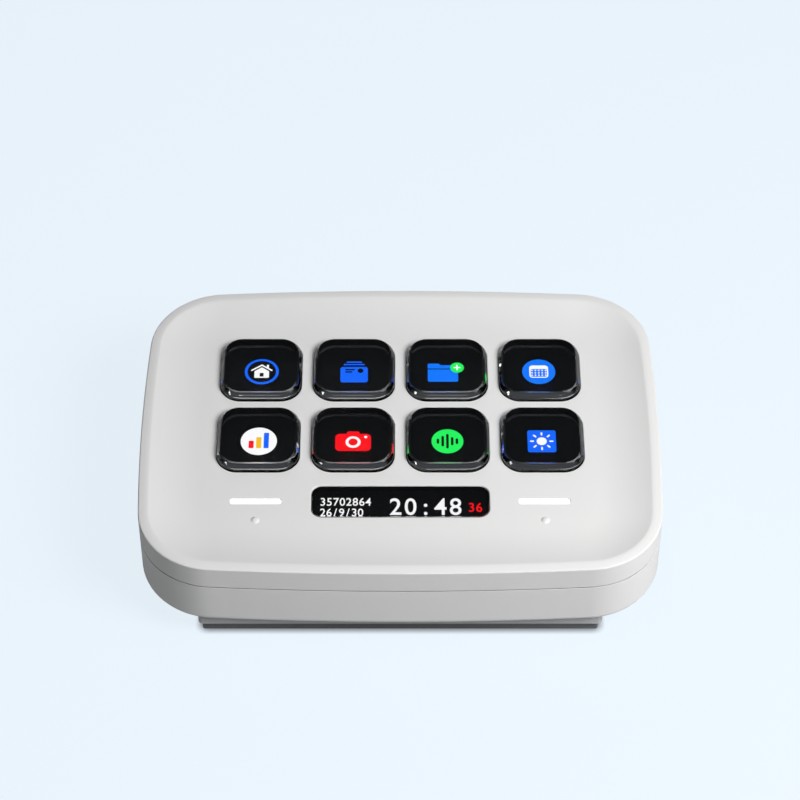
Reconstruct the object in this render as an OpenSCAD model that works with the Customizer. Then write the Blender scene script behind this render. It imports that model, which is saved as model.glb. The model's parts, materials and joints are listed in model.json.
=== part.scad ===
// Desk macro keypad: a dished case on a wedge foot, with eight clear keys over one display,
// an info window, and two touch points with light bars.
// Face frame: u to the right, v to the back along the face, w out of the face; w = 0 is the
// outer edge of the rim. The origin of the whole part is on the desk, under its middle.

/* [Case] */
// Width of the case
case_w = 107; // [104:1:130]
// Depth of the case along its face
case_d = 78; // [76:1:100]
// Thickness of the case, from the edge of the rim to the underside
case_t = 16.6; // [16:0.2:24]
// Tilt of the face towards the user, in degrees
tilt = 2.7; // [2:0.1:10]
// Bow of the front and back sides, at their middle
bow_long = 2.1; // [0.5:0.1:4]
// Bow of the left and right sides, at their middle
bow_short = 1.75; // [0.5:0.05:3]
// Radius of the case's corners
corner_r = 15.6; // [14:0.2:20]
// Radius of the bottom edge
bottom_r = 1.5; // [0.5:0.1:2]
// Radius of the rim's outer edge
edge_r = 0.35; // [0.2:0.05:0.6]
// Thickness of the side walls
wall = 2; // [1.6:0.1:2.6]
// Thickness of the case floor
floor_t = 2; // [1.2:0.1:2.4]
// Depth of the seam between the shells below the rim's edge
seam_drop = 5.6; // [5:0.1:7]
// Width of the seam
seam_gap = 0.25; // [0.1:0.05:0.5]
// Height of the lap joint behind the seam
lap_h = 1.2; // [0.8:0.1:1.6]

/* [Face] */
// Width of the rim's band
rim_band = 1.8; // [1:0.1:2.6]
// Rise of the band from the edge to its crest
rim_rise = 0.2; // [0.1:0.05:0.6]
// Depth of the dish below the rim's edge
dish_drop = 1.6; // [1:0.1:2.4]
// Run of the dish's curved border
dish_run = 10.6; // [7:0.2:11]
// Thickness of the face outside the key field
skin = 1.8; // [1.4:0.1:2]
// Thickness of the face over the key field
field_skin = 1; // [0.8:0.05:1.2]

/* [Keys] */
// Distance between neighbouring keys, both ways
key_pitch = 19.52; // [19.2:0.04:20]
// Side of a key's opening
key_open = 17.17; // [16:0.01:17.2]
// Corner radius of a key's opening
key_open_r = 4.5; // [3:0.1:5]
// Height of the keys above the dish
cap_proud = 1.8; // [1:0.1:2.4]
// Width of the sloped border round a key's top
cap_slope = 0.9; // [0.4:0.05:1]
// Drop of that border
cap_slope_h = 1.1; // [0.6:0.1:1.4]
// Swell of that border over a straight slope
cap_swell = 0.1; // [0:0.02:0.2]
// Gap between a key and its opening
cap_gap = 0.15; // [0.1:0.01:0.25]
// Width of the lip that holds a key in
key_lip = 0.65; // [0.4:0.05:0.7]
// Thickness of that lip
lip_t = 0.55; // [0.4:0.05:0.8]
// Depth of the lens under the lip
lens_t = 0.3; // [0.1:0.05:0.4]
// Travel of a key
key_travel = 0.7; // [0.4:0.05:1]
// Middle of the key field, behind the middle of the face
keys_v = 7.12; // [5:0.02:8]

/* [Info window and touch points] */
// Width of the info window
info_w = 36.2; // [28:0.2:40]
// Depth of the info window
info_d = 8.4; // [6:0.1:8.6]
// Corner radius of the info window
info_r = 2.2; // [1:0.1:3]
// Middle of the info window, in front of the middle of the face
info_v = 18.94; // [18.9:0.02:19.2]
// Depth of the info lens below the dish
info_sink = 0.15; // [0.05:0.05:0.4]
// Length of a light bar
bar_w = 10.5; // [8:0.1:11]
// Width of a light bar
bar_d = 1.5; // [1:0.1:2]
// Depth of a light bar below the dish
bar_sink = 0.25; // [0.1:0.05:0.5]
// Radius of a touch dot
dot_r = 0.9; // [0.6:0.05:1.2]
// Height of a touch dot
dot_h = 0.35; // [0.2:0.05:0.5]
// Distance of a touch dot in front of its light bar
dot_step = 5; // [4.6:0.1:5.2]

/* [Foot] */
// Setback of the foot from the left and right of the case
foot_side = 12.4; // [11:0.1:15]
// Setback of the foot from the back of the case
foot_back = 4.2; // [3:0.1:6]
// Corner radius of the foot
foot_r = 1; // [0.8:0.1:4]
// Setback of the foot from the front of the case
foot_in = 3; // [1.6:0.1:4]
// Height of the pedestal at its front
ped_front = 3.35; // [1.8:0.05:4]
// Thickness of the rubber sole
sole_t = 2.4; // [1:0.1:3]
// Distance of the sole inside the pedestal's edge
sole_in = 0.8; // [0.3:0.05:2]

/* [Display and boards] */
// Width of the walls round the key frame
frame_wall = 0.8; // [0.6:0.05:0.9]
// Thickness of the silicone mat
mat_t = 0.25; // [0.2:0.05:0.4]
// Height of the mat's ring round each key
ring_h = 0.15; // [0.1:0.05:0.3]
// Thickness of the switch film
film_t = 0.15; // [0.1:0.05:0.2]
// Thickness of the display glass
glass_t = 1.1; // [0.8:0.1:1.4]
// Thickness of the backlight
light_t = 1.6; // [1.2:0.1:2]
// Thickness of the tray's steel
tray_t = 0.5; // [0.4:0.1:0.6]
// Thickness of the main board
board_t = 1.2; // [1:0.1:1.6]
// Space under the main board
board_up = 3; // [2.6:0.1:3.2]
// Thickness of the touch board
touch_t = 1; // [0.8:0.1:1.2]
// Thickness of the ballast plate
ballast_t = 2; // [1.5:0.1:2.2]

/* [USB socket] */
// Width of the socket's shell
usb_w = 8.94; // [8.94:0.01:9]
// Height of the socket's shell
usb_h = 3.26; // [3.2:0.02:3.3]
// Length of the socket
usb_l = 7; // [6.5:0.1:7.35]
// Wall of the socket's shell
usb_wall = 0.3; // [0.25:0.05:0.35]
// Depth of the recess in the back wall
usb_recess = 0.8; // [0.4:0.1:1]

/* [Screws] */
// Shank radius of the case screws
case_screw_r = 1.25; // [1:0.05:1.3]
// Head radius of the case screws
case_head_r = 2.3; // [2:0.1:2.4]
// Head height of the case screws
case_head_h = 1; // [0.8:0.1:1.2]
// Wall left under the heads of the case screws
case_web = 1; // [0.8:0.1:1.1]
// Shank length of the case screws
case_screw_l = 10; // [8:0.5:12]
// Shank radius of the small screws
small_r = 0.9; // [0.7:0.05:1]
// Head radius of the small screws
small_head_r = 1.8; // [1.5:0.1:2]
// Head height of the small screws
small_head_h = 1; // [0.7:0.1:1.2]
// Shank length of the small screws
small_l = 2.6; // [2:0.1:3]

/* [Hidden] */
$fn = 40;

// General clearances
slip = 0.1;        // between parts that are laid or pushed into each other
hole_gap = 0.05;   // round a screw's thread
stop_gap = 0.05;   // between a pressed key and the mat's ring
cut = 1;           // by how much a cut runs past the face it starts from

// The face frame's place above the desk
foot_top = sole_t + ped_front;
foot_front_v = -case_d / 2 + foot_in;
foot_w = case_w - 2 * foot_side;
foot_d = (case_d - foot_in - foot_back) * cos(tilt);
face_z = foot_top + case_t * cos(tilt) - foot_front_v * sin(tilt);
face_y = -(edge_r + case_t - bottom_r) * sin(tilt) / 2;

// Bowed outline: four long arcs joined by corner arcs that run into them smoothly
long_r = (pow(case_w / 2, 2) + pow(bow_long, 2)) / (2 * bow_long);
short_r = (pow(case_d / 2, 2) + pow(bow_short, 2)) / (2 * bow_short);
long_c = [0, case_d / 2 - long_r];
short_c = [case_w / 2 - short_r, 0];
arc_gap = norm(short_c - long_c);
arc_x = (pow(arc_gap, 2) + pow(long_r - corner_r, 2) - pow(short_r - corner_r, 2)) / (2 * arc_gap);
arc_dir = (short_c - long_c) / arc_gap;
corner_c = long_c + arc_dir * arc_x
    + [arc_dir[1], -arc_dir[0]] * sqrt(pow(long_r - corner_r, 2) - pow(arc_x, 2));
short_end = atan2(corner_c[1] - short_c[1], corner_c[0] - short_c[0]);
long_end = atan2(corner_c[1] - long_c[1], corner_c[0] - long_c[0]);
short_steps = 3;
corner_steps = 9;
long_steps = 4;

// Levels down the stack, as w values
dish_w0 = -dish_drop;
field_w = dish_w0 - field_skin;
lip_w = field_w - slip;
lens_w = lip_w - lip_t - lens_t;
ring_w = lip_w - lip_t - key_travel - stop_gap;
mat_w = ring_w - ring_h;
film_w = mat_w - mat_t;
glass_w = film_w - film_t;
light_w = glass_w - glass_t;
tray_w = light_w - light_t;
info_back_w = tray_w;
floor_w = -case_t + floor_t;
board_w = floor_w + board_up + board_t;
seam_w = -seam_drop;
head_w = -case_t - case_web;

// Keys
key_cols = 4;
key_rows = 2;
cap_side = key_open - 2 * cap_gap;
cap_r = key_open_r - cap_gap;
lip_side = cap_side + 2 * key_lip;
lip_r = cap_r + key_lip;
lens_side = cap_side - 2 * cap_slope;
lens_r = cap_r - cap_slope;
pocket_side = lip_side + 3 * slip;
window_side = lens_side + 3 * slip;
window_r = lens_r + slip;
cap_steps = 6;
round_steps = 4;
slope_steps = 4;

// Display field: everything in the stack shares the key frame's outline
field_x = (key_cols - 1) * key_pitch + pocket_side + 2 * frame_wall;
field_y = (key_rows - 1) * key_pitch + pocket_side + 2 * frame_wall;
field_front = keys_v - field_y / 2;
field_back = keys_v + field_y / 2;
bar_u = (key_cols - 1) / 2 * key_pitch;
pocket_x = field_x + 8 * slip;

// Info window and its display
info_lip = 1.3;
info_lip_t = 0.7;
info_margin = [2.4, 1.2];
info_case = [info_w + 2 * info_margin[0], info_d + 2 * info_margin[1]];
info_glass_in = [1, 0.5];

// Light pipes
bar_lip = 0.75;
bar_lip_t = 0.6;
bar_r = 0.6;
pipe_leg_w = 8;
led_gap = 0.2;
led_size = [3.2, 1.6, 0.7];
led_step = 2.5;

// Bosses for the tray and the touch board
boss_r = 2.1;
boss_sunk = 0.6;
boss_room = 0.6;
boss_top = dish_w0 - boss_sunk;
ear_u = field_x / 2 + slip + tray_t + boss_r + boss_room;
ear_v = 13;
ear_r = 2.4;
touch_boss_u = bar_u + bar_w / 2 + bar_lip + boss_r;
touch_boss_step = 2.4;
touch_boss_v = -info_v + touch_boss_step;

// Touch board and film
touch_edge = 2.3;
touch_reach = 7;
touch_gap = 0.4;
touch_x = 2 * (touch_boss_u + touch_edge);
touch_front = -info_v - touch_reach;
touch_back = field_front - touch_gap;
pad_size = [12, 3.4];
pad_t = 0.15;
pad_strip = 1;
strip_v = -info_v - dot_step - (pad_size[1] + pad_strip) / 2 + slip;
pocket_front = strip_v - pad_strip / 2 - 2 * slip;

// Case screws, mirrored left and right
case_boss_r = 2.6;
case_boss_u = 34;
case_boss_in = [6.4, 7.8];
case_boss_front = -case_d / 2 + case_boss_in[0];
case_boss_back = case_d / 2 - case_boss_in[1];
case_post_h = 2.6;
split_w = floor_w + case_post_h;
shank_gap = 0.15;

// Main board
board_x = 82;
board_in = [0.7, 4.2];
board_front = field_front + board_in[0];
board_back = case_d / 2 - board_in[1];
board_r = 3;
board_screw_u = 38.2;
board_screw_in = [3.7, 6.1];
board_screw_v = [board_front + board_screw_in[0], field_back - board_screw_in[1]];
post_r = 2.2;
notch_gap = 0.5;

// Controller, memory, regulator and smaller parts: [u, v, width, depth, height]
chips = [[-14, 6, 10, 10, 1], [2, 8, 6, 5, 0.9], [14, 3, 5, 5, 0.9], [14, 13, 7, 4, 1.2],
    [26, 8, 4, 4, 1.5], [-26, 14, 4, 6, 1.1], [-26, 2, 3, 3, 0.8], [6, 20, 5, 3, 0.9],
    [-3, 16, 2, 1.2, 0.6], [24, 18, 2, 1.2, 0.6], [-30, 20, 2, 1.2, 0.6]];

// Ballast
ballast_x = 66;
ballast_gap = [2, 1.6];
ballast_front = case_boss_front + case_boss_r + ballast_gap[0];
ballast_back = case_boss_back - case_boss_r - ballast_gap[1];
ballast_r = 3;
pin_r = 1.5;
pin_u = 22;
pin_v = 14;

// Ribbons and their sockets
ribbon_t = 0.15;
ribbon_r = 1;
socket_d = 3.2;
socket_h = 1.3;
socket_side = 1;
socket_in = 0.3;
slot_up = 0.5;
socket_back = field_back - socket_in;
ribbon_w = board_w + slot_up;
loop_reach = [2.3, 2.9];
display_ribbon_x = [-26, -6];
switch_ribbon_x = [18, 26];
touch_ribbon_x = [-5, 5];
link_grip = 4;
link_lead = 0.5;
touch_socket_in = 1.4;
touch_socket_front = board_front + touch_socket_in;

// Socket
usb_corner = usb_h / 2 - slip / 10;
usb_front = case_d / 2 - usb_recess - slip;
usb_mid = board_w + usb_h / 2;
tongue_size = [6.7, 4.6, 0.7];
usb_base_t = 1.2;
recess_margin = [2.1, 1.8];
recess_x = usb_w + 2 * recess_margin[0];
recess_y = usb_h + 2 * recess_margin[1];

// Places children in the face frame
module on_face() {
    translate([0, face_y, face_z]) rotate([tilt, 0, 0]) children();
}

// A quarter of the outline at an inset, from the right to the back
function arc_point(c, r, a) = c + r * [cos(a), sin(a)];
function quarter(inset) = concat(
    [for (k = [0 : short_steps - 1])
        arc_point(short_c, short_r - inset, short_end * k / short_steps)],
    [for (k = [0 : corner_steps])
        arc_point(corner_c, corner_r - inset, short_end + (long_end - short_end) * k / corner_steps)],
    [for (k = [1 : long_steps])
        arc_point(long_c, long_r - inset, long_end + (90 - long_end) * k / long_steps)]);

// The whole outline at an inset, anticlockwise
function outline(inset) = let (q = quarter(inset), n = len(q)) concat(
    [for (k = [0 : n - 2]) q[k]],
    [for (k = [n - 1 : -1 : 1]) [-q[k][0], q[k][1]]],
    [for (k = [0 : n - 2]) -q[k]],
    [for (k = [n - 1 : -1 : 1]) [q[k][0], -q[k][1]]]);

// Height of the face at an inset from the outline, from the crest of the rim inwards
function dish(inset) = let (left = (rim_band + dish_run - inset) / dish_run)
    left <= 0 ? -dish_drop : -dish_drop + (rim_rise + dish_drop) * pow(min(left, 1), 2);

// Rounded square as a ring of points, anticlockwise
function square_ring(side, r) = [for (c = [0 : 3]) for (k = [0 : cap_steps])
    let (a = 90 * c + 90 * k / cap_steps, s = [[1, 1], [-1, 1], [-1, -1], [1, -1]][c])
    s * (side / 2 - r) + r * [cos(a), sin(a)]];

// Closed solid through a list of [ring of points round the origin, height], each end a fan
module loft(rings) {
    n = len(rings[0][0]);
    last = len(rings) - 1;
    low = n * (last + 1);
    points = concat([for (r = rings) for (p = r[0]) [p[0], p[1], r[1]]],
        [[0, 0, rings[0][1]], [0, 0, rings[last][1]]]);
    sides = [for (k = [0 : last - 1]) for (i = [0 : n - 1])
        let (a = k * n + i, b = k * n + (i + 1) % n)
        each [[a, a + n, b + n], [a, b + n, b]]];
    ends = [for (i = [0 : n - 1]) let (j = (i + 1) % n)
        each [[low, i, j], [low + 1, last * n + j, last * n + i]]];
    polyhedron(points, concat(sides, ends));
}

// Flat shape with true round corners
module rounded(x, y, r) {
    union() {
        square([x - 2 * r, y], center = true);
        square([x, y - 2 * r], center = true);
        for (sx = [-1, 1], sy = [-1, 1]) translate([sx * (x / 2 - r), sy * (y / 2 - r)]) circle(r);
    }
}

// Slab with round corners from one height down to another
module slab(x, y, r, top, bottom) {
    translate([0, 0, bottom]) linear_extrude(top - bottom) rounded(x, y, r);
}

module rod(r, top, bottom) {
    translate([0, 0, bottom]) cylinder(r = r, h = top - bottom);
}

module block(x, y, top, bottom) {
    translate([-x / 2, -y / 2, bottom]) cube([x, y, top - bottom]);
}

module at_keys() {
    for (row = [0 : key_rows - 1], col = [0 : key_cols - 1]) at_key(row * key_cols + col) children();
}

module at_key(index) {
    col = index % key_cols;
    row = floor(index / key_cols);
    translate([(col - (key_cols - 1) / 2) * key_pitch,
        keys_v + ((key_rows - 1) / 2 - row) * key_pitch, 0]) children();
}

module at_field() {
    translate([0, keys_v, 0]) children();
}

module at_info() {
    translate([0, -info_v, 0]) children();
}

module at_bars() {
    for (side = [-1, 1]) translate([side * bar_u, -info_v, 0]) children();
}

module at_case_screws() {
    for (side = [-1, 1], v = [case_boss_front, case_boss_back]) translate([side * case_boss_u, v, 0])
        children();
}

module at_tray_screws() {
    for (side = [-1, 1], v = [-ear_v, ear_v]) translate([side * ear_u, keys_v + v, 0]) children();
}

module at_touch_screws() {
    for (side = [-1, 1]) translate([side * touch_boss_u, touch_boss_v, 0]) children();
}

module at_board_screws() {
    for (side = [-1, 1], v = board_screw_v) translate([side * board_screw_u, v, 0]) children();
}

module at_pins() {
    for (u = [-1, 1], v = [-1, 1])
        translate([u * pin_u, (ballast_front + ballast_back) / 2 + v * pin_v, 0]) children();
}

// Skin of the top shell in one run: ceiling, inner wall, lap, seam, outer wall, edge and dish
module top_form() {
    hollow_steps = 4;
    dish_steps = 6;
    border = rim_band + dish_run;
    lap_in = wall / 2 + slip;
    loft(concat(
        [for (k = [hollow_steps : -1 : 0])
            let (inset = wall + (border - wall) * k / hollow_steps) [outline(inset), dish(inset) - skin]],
        [[outline(wall), seam_w + lap_h], [outline(lap_in), seam_w + lap_h],
            [outline(lap_in), seam_w], [outline(0), seam_w]],
        [for (a = [0, 45, 90]) [outline(edge_r * (1 - cos(a))), edge_r * (sin(a) - 1)]],
        [for (k = [0 : dish_steps])
            let (inset = rim_band + dish_run * k / dish_steps) [outline(inset), dish(inset)]]));
}

// Outer skin of the bottom shell, from the underside over its rounded edge to the seam
bottom_rings = concat(
    [for (k = [0 : round_steps]) let (a = 90 * k / round_steps)
        [outline(bottom_r * (1 - sin(a))), -case_t + bottom_r * (1 - cos(a))]],
    [[outline(0), seam_w - seam_gap]]);

// The same skin, then the tongue of the lap joint, the inner wall and the floor
module bottom_form() {
    tongue_in = wall / 2 + 2 * slip;
    loft(concat(bottom_rings,
        [[outline(tongue_in), seam_w - seam_gap], [outline(tongue_in), seam_w + lap_h - slip],
            [outline(wall), seam_w + lap_h - slip], [outline(wall), floor_w]]));
}

module top_shell() {
    dot_ball = (dot_r * dot_r + dot_h * dot_h) / (2 * dot_h);
    color("#dcdee0") on_face() difference() {
        union() {
            difference() {
                top_form();
                translate([0, (field_back + pocket_front) / 2, 0])
                    slab(pocket_x, field_back - pocket_front + 4 * slip, 2, field_w, seam_w);
            }
            at_case_screws() rod(case_boss_r, boss_top, split_w);
            at_tray_screws() rod(boss_r, boss_top, tray_w);
            at_touch_screws() rod(boss_r, boss_top, info_back_w);
            at_bars() translate([0, -dot_step, dish_w0 + dot_h - dot_ball]) intersection() {
                sphere(dot_ball);
                block(2 * dot_r + cut, 2 * dot_r + cut, dot_ball, dot_ball - dot_h - slip);
            }
        }
        at_keys() slab(key_open, key_open, key_open_r, cut, seam_w);
        at_info() slab(info_w, info_d, info_r, cut, seam_w);
        at_bars() slab(bar_w, bar_d, bar_r, cut, seam_w);
        at_case_screws() rod(case_screw_r + hole_gap, head_w + case_screw_l + slip, split_w - cut);
        at_tray_screws() rod(small_r + hole_gap, tray_w - tray_t + small_l + slip, tray_w - cut);
        at_touch_screws() rod(small_r + hole_gap, info_back_w - touch_t + small_l + slip, info_back_w - cut);
    }
}

module bottom_shell() {
    color("#d3d5d8") on_face() difference() {
        union() {
            bottom_form();
            at_case_screws() rod(case_boss_r, split_w - slip, floor_w - slip);
            at_board_screws() rod(post_r, board_w - board_t, floor_w - slip);
            at_pins() rod(pin_r, floor_w + ballast_t, floor_w - slip);
        }
        at_case_screws() rod(case_screw_r + shank_gap, cut, -case_t - cut);
        at_board_screws() rod(small_r + hole_gap, cut, board_w - small_l - slip);
        translate([0, 0, usb_mid]) rotate([90, 0, 0]) {
            slab(usb_w + 4 * slip, usb_h + 4 * slip, usb_corner, -case_d / 2 + wall + 2 * cut, -case_d);
            slab(recess_x, recess_y, recess_y / 2 - slip, -case_d / 2 + usb_recess, -case_d);
        }
    }
}

// Outline of the foot on the desk, at an inset
module foot_slab(inset, top, bottom) {
    front = face_y + foot_front_v * cos(tilt) + case_t * sin(tilt);
    translate([0, front + foot_d / 2, 0])
        slab(foot_w - 2 * inset, foot_d - 2 * inset, max(foot_r - inset, 0.5), top, bottom);
}

module pedestal() {
    color("#cfd1d4") difference() {
        foot_slab(0, foot_top + foot_d * sin(tilt) + bottom_r, sole_t);
        on_face() {
            loft(bottom_rings);
            at_case_screws() {
                rod(case_screw_r + shank_gap, 0, -2 * case_t);
                rod(case_head_r + 2 * slip, head_w, -2 * case_t);
            }
        }
    }
}

module rubber_sole() {
    color("#55585c") foot_slab(sole_in, sole_t, 0);
}

module ballast_plate() {
    color("#8f9499") on_face() difference() {
        translate([0, (ballast_front + ballast_back) / 2, 0])
            slab(ballast_x, ballast_back - ballast_front, ballast_r, floor_w + ballast_t, floor_w);
        at_pins() rod(pin_r + slip, cut, floor_w - cut);
    }
}

// Grid that keeps the keys apart and holds the mat down
module key_frame() {
    color("#1a1b1d") on_face() difference() {
        at_field() slab(field_x, field_y, lip_r, field_w, mat_w);
        at_keys() slab(pocket_side, pocket_side, lip_r, cut, mat_w - cut);
    }
}

module key_mat() {
    color("#2a2c2f") on_face() difference() {
        union() {
            at_field() slab(field_x, field_y, lip_r, mat_w, film_w);
            at_keys() slab(pocket_side - 2 * slip, pocket_side - 2 * slip, lip_r - slip, ring_w, mat_w - slip);
        }
        at_keys() slab(window_side, window_side, window_r, cut, film_w - cut);
    }
}

module switch_film() {
    color("#b9782f") on_face() difference() {
        at_field() slab(field_x, field_y, lip_r, film_w, glass_w);
        at_keys() slab(window_side, window_side, window_r, cut, glass_w - cut);
    }
}

module display_panel() {
    color("#0b0c0e") on_face() at_field() slab(field_x, field_y, 1, glass_w, light_w);
}

module backlight() {
    color("#eceff1") on_face() at_field() slab(field_x, field_y, 1, light_w, tray_w);
}

// Steel tray with side walls and four screw ears
module display_tray() {
    in_x = field_x + 2 * slip;
    out_x = in_x + 2 * tray_t;
    color("#a9adb1") on_face() difference() {
        union() {
            at_field() {
                block(out_x, field_y, tray_w, tray_w - tray_t);
                for (side = [-1, 1]) translate([side * (in_x + tray_t) / 2, 0, 0])
                    block(tray_t, field_y, light_w, tray_w - tray_t);
            }
            at_tray_screws() rod(ear_r, tray_w, tray_w - tray_t);
            for (v = [-ear_v, ear_v]) translate([0, keys_v + v, 0])
                block(2 * ear_u, 2 * ear_r, tray_w, tray_w - tray_t);
        }
        at_tray_screws() rod(small_r + slip, cut, tray_w - cut);
    }
}

module info_window() {
    color("#16181b", 0.6) on_face() at_info() {
        slab(info_w - 2 * slip, info_d - 2 * slip, info_r - slip, dish_w0 - info_sink, field_w - info_lip_t);
        slab(info_w + 2 * info_lip, info_d + 2 * info_lip, info_r, field_w, field_w - info_lip_t);
    }
}

module info_display() {
    color("#101216") on_face() at_info() {
        slab(info_case[0] - 2 * info_glass_in[0], info_case[1] - 2 * info_glass_in[1], 0.5, glass_w,
            light_w + slip);
        slab(info_case[0], info_case[1], 0.5, light_w + slip, info_back_w);
    }
}

module light_pipe() {
    slab(bar_w - 2 * slip, bar_d - 2 * slip, bar_r - slip, dish_w0 - bar_sink, field_w - bar_lip_t);
    slab(bar_w + 2 * bar_lip, bar_d + 2 * bar_lip, bar_r, field_w, field_w - bar_lip_t);
    block(pipe_leg_w, bar_d - 2 * slip, field_w - bar_lip_t, info_back_w + led_size[2] + led_gap);
}

module light_pipe_left() {
    color("#f6f8fa") on_face() translate([-bar_u, -info_v, 0]) light_pipe();
}

module light_pipe_right() {
    color("#f6f8fa") on_face() translate([bar_u, -info_v, 0]) light_pipe();
}

// Two sensing pads under the dots, joined by a strip in front of the info window
module touch_film() {
    color("#c98a3a") on_face() {
        at_bars() translate([0, -dot_step, 0]) block(pad_size[0], pad_size[1], field_w, field_w - pad_t);
        translate([0, strip_v, 0]) block(2 * bar_u, pad_strip, field_w, field_w - pad_t);
    }
}

module touch_board() {
    color("#1f5a3c") on_face() difference() {
        translate([0, (touch_front + touch_back) / 2, 0])
            slab(touch_x, touch_back - touch_front, 1, info_back_w, info_back_w - touch_t);
        at_touch_screws() rod(small_r + slip, cut, info_back_w - touch_t - cut);
    }
}

module touch_leds() {
    color("#fdf8e4") on_face() at_bars() for (side = [-1, 1]) translate([side * led_step, 0, 0])
        block(led_size[0], led_size[1], info_back_w + led_size[2], info_back_w);
}

module main_board() {
    color("#1f5a3c") on_face() difference() {
        translate([0, (board_front + board_back) / 2, 0])
            slab(board_x, board_back - board_front, board_r, board_w, board_w - board_t);
        at_case_screws() rod(case_boss_r + notch_gap, cut, board_w - board_t - cut);
        at_board_screws() rod(small_r + slip, cut, board_w - board_t - cut);
    }
}

module board_chips() {
    color("#202225") on_face() for (c = chips) translate([c[0], c[1], 0])
        block(c[2], c[3], board_w + c[4], board_w);
}

// Socket for a ribbon, open towards the ribbon
module ribbon_socket(x, back, mouth) {
    translate([(x[0] + x[1]) / 2, back - socket_d / 2, 0]) difference() {
        block(x[1] - x[0] + 2 * socket_side, socket_d, board_w + socket_h, board_w);
        translate([0, mouth * (socket_d / 2 - slip), 0])
            block(x[1] - x[0] + 2 * slip, socket_d / 2, ribbon_w + ribbon_t, ribbon_w - ribbon_t);
    }
}

module ribbon_sockets() {
    color("#e9e4d4") on_face() {
        ribbon_socket(display_ribbon_x, socket_back, 1);
        ribbon_socket(switch_ribbon_x, socket_back, 1);
        ribbon_socket(touch_ribbon_x, touch_socket_front + socket_d, -1);
    }
}

// Band of even thickness along a path in the plane of v and w
function side_step(path, i) = let (a = path[max(i - 1, 0)], b = path[min(i + 1, len(path) - 1)],
    d = (b - a) / norm(b - a)) [-d[1], d[0]];
module ribbon(path, x) {
    left = [for (i = [0 : len(path) - 1]) path[i] + side_step(path, i) * ribbon_t / 2];
    right = [for (i = [len(path) - 1 : -1 : 0]) path[i] - side_step(path, i) * ribbon_t / 2];
    translate([x[0], 0, 0]) rotate([90, 0, 90]) linear_extrude(x[1] - x[0]) polygon(concat(left, right));
}

// Path from the back of the field, down behind the tray and forward into a socket
function back_loop(start_w, reach) = let (turn = field_back + reach - ribbon_r) concat(
    [[field_back, start_w], [turn, start_w]],
    [for (a = [75 : -15 : 0]) [turn, start_w - ribbon_r] + ribbon_r * [cos(a), sin(a)]],
    [for (a = [0 : -15 : -75]) [turn, ribbon_w + ribbon_r] + ribbon_r * [cos(a), sin(a)]],
    [[turn, ribbon_w], [socket_back - socket_d / 4, ribbon_w]]);

module display_ribbon() {
    color("#c98a3a") on_face() ribbon(back_loop(glass_w - glass_t / 2, loop_reach[0]), display_ribbon_x);
}

module switch_ribbon() {
    color("#c98a3a") on_face() ribbon(back_loop(film_w - film_t / 2, loop_reach[1]), switch_ribbon_x);
}

// Short link from under the touch board to the main board, level at both ends
module touch_ribbon() {
    steps = 8;
    from = [touch_back - link_grip, info_back_w - touch_t - ribbon_t / 2];
    edge = [touch_back - link_lead, from[1]];
    to = [touch_socket_front, ribbon_w];
    path = concat([from], [for (k = [0 : steps]) let (s = (1 - cos(180 * k / steps)) / 2)
        [edge[0] + (to[0] - edge[0]) * k / steps, edge[1] + (to[1] - edge[1]) * s]],
        [[to[0] + socket_d / 4, ribbon_w]]);
    color("#c98a3a") on_face() ribbon(path, touch_ribbon_x);
}

module usb_socket() {
    color("#b9bdc2") on_face() translate([0, usb_front, usb_mid]) rotate([90, 0, 0]) difference() {
        slab(usb_w, usb_h, usb_corner, usb_l, 0);
        slab(usb_w - 2 * usb_wall, usb_h - 2 * usb_wall, usb_corner - usb_wall, usb_l - usb_base_t, -cut);
    }
}

module usb_tongue() {
    color("#1d1e20") on_face() translate([0, usb_front - usb_l + usb_base_t + tongue_size[1] / 2, usb_mid])
        block(tongue_size[0], tongue_size[1], tongue_size[2] / 2, -tongue_size[2] / 2);
}

// Screw with its head down at height w, and a cross in the head
module screw(r, l, head_r, head_h, w) {
    slot = head_r / 4;
    difference() {
        union() {
            rod(r, w + l, w - slip);
            rod(head_r, w, w - head_h);
        }
        for (turn = [0, 90]) rotate(turn)
            block(head_r * 1.3, slot, w - head_h / 2, w - head_h - cut);
    }
}

// Screws that hold the tray and the touch board to the top shell
module panel_screws() {
    color("#8b9096") on_face() {
        at_tray_screws() screw(small_r, small_l, small_head_r, small_head_h, tray_w - tray_t);
        at_touch_screws() screw(small_r, small_l, small_head_r, small_head_h, info_back_w - touch_t);
    }
}

module board_screws() {
    color("#8b9096") on_face() at_board_screws() translate([0, 0, board_w]) mirror([0, 0, 1])
        screw(small_r, small_l, small_head_r, small_head_h, 0);
}

module case_screws() {
    color("#8b9096") on_face() at_case_screws()
        screw(case_screw_r, case_screw_l, case_head_r, case_head_h, head_w);
}

// Clear key: a lens, a lip that holds it in, and a crown with a sloped border
module key_cap(index) {
    top = dish_w0 + cap_proud;
    color("#30343a", 0.5) on_face() at_key(index) loft(concat(
        [[square_ring(lens_side, lens_r), lens_w], [square_ring(lens_side, lens_r), lip_w - lip_t],
            [square_ring(lip_side, lip_r), lip_w - lip_t], [square_ring(lip_side, lip_r), lip_w],
            [square_ring(cap_side, cap_r), lip_w]],
        [for (k = [0 : slope_steps]) let (s = k / slope_steps, e = cap_slope * s,
            bulge = 4 * cap_swell * s * (1 - s))
            [square_ring(cap_side - 2 * e, cap_r - e), top - cap_slope_h * (1 - s) + bulge]]));
}

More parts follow.
